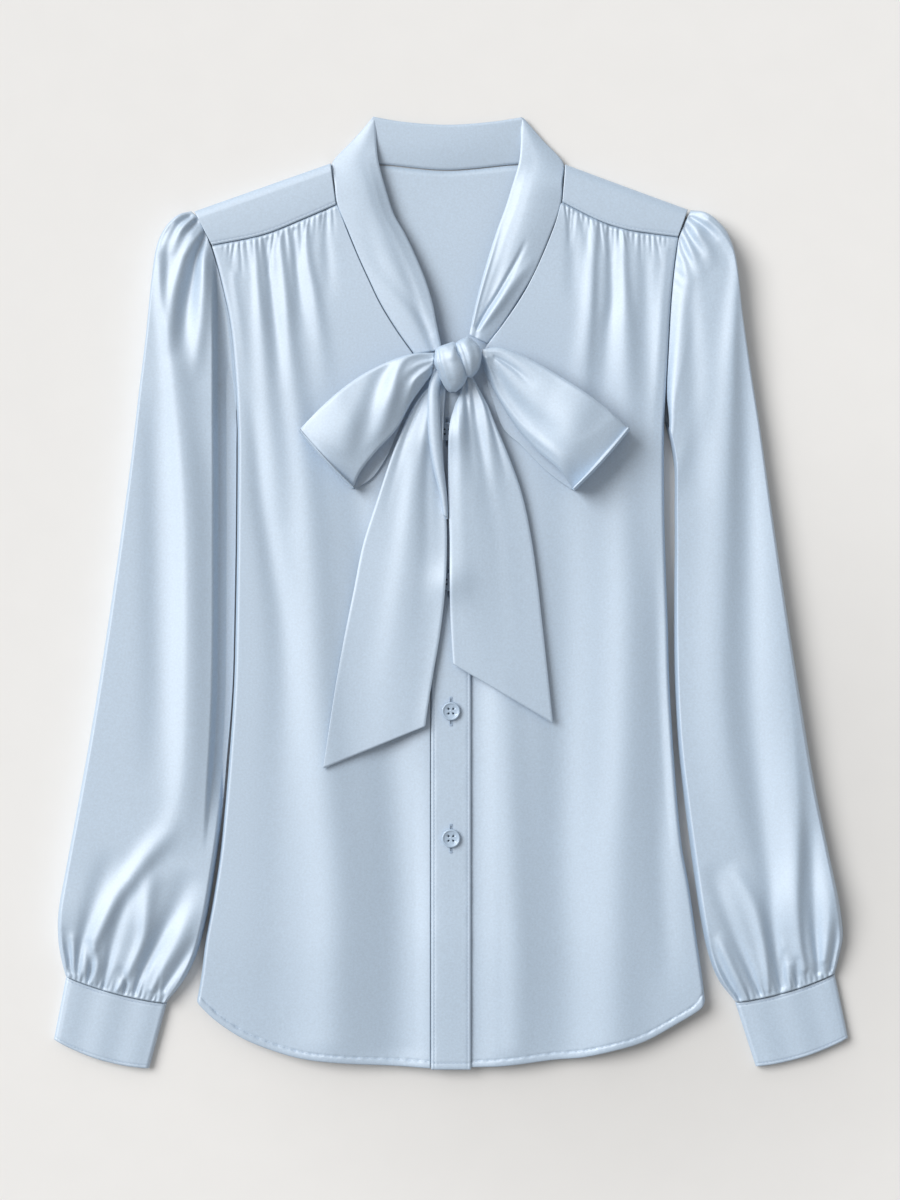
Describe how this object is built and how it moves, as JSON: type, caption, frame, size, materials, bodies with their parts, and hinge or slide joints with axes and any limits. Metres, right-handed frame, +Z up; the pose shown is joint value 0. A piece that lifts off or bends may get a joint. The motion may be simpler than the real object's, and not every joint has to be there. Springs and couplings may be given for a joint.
{
  "type": "blouse",
  "caption": "Long-sleeved satin blouse with a neck bow, gathered yoke fronts, buttoned placket and gathered cuffs, laid flat on its back.",
  "frame": {"origin": "centre of the box round the laid-out blouse, on the surface it lies on", "axes": "+Z up off the surface, +Y towards the collar, +X towards the wearer's left sleeve"},
  "size_m": [0.5898, 0.7068, 0.0426],
  "materials": {
    "satin": "soft satin",
    "button": "soft gloss"
  },
  "bodies": {
    "root": {"back": "satin", "placket": "satin", "button_1": "button", "button_2": "button", "button_3": "button", "button_4": "button", "collar_back": "satin", "bow_knot": "satin", "front_right": "satin", "yoke_right": "satin", "collar_right": "satin", "sleeve_right": "satin", "cuff_right": "satin", "bow_loop_right": "satin", "bow_tail_right": "satin", "front_left": "satin", "yoke_left": "satin", "collar_left": "satin", "sleeve_left": "satin", "cuff_left": "satin", "bow_loop_left": "satin", "bow_tail_left": "satin"}
  },
  "joints": []
}
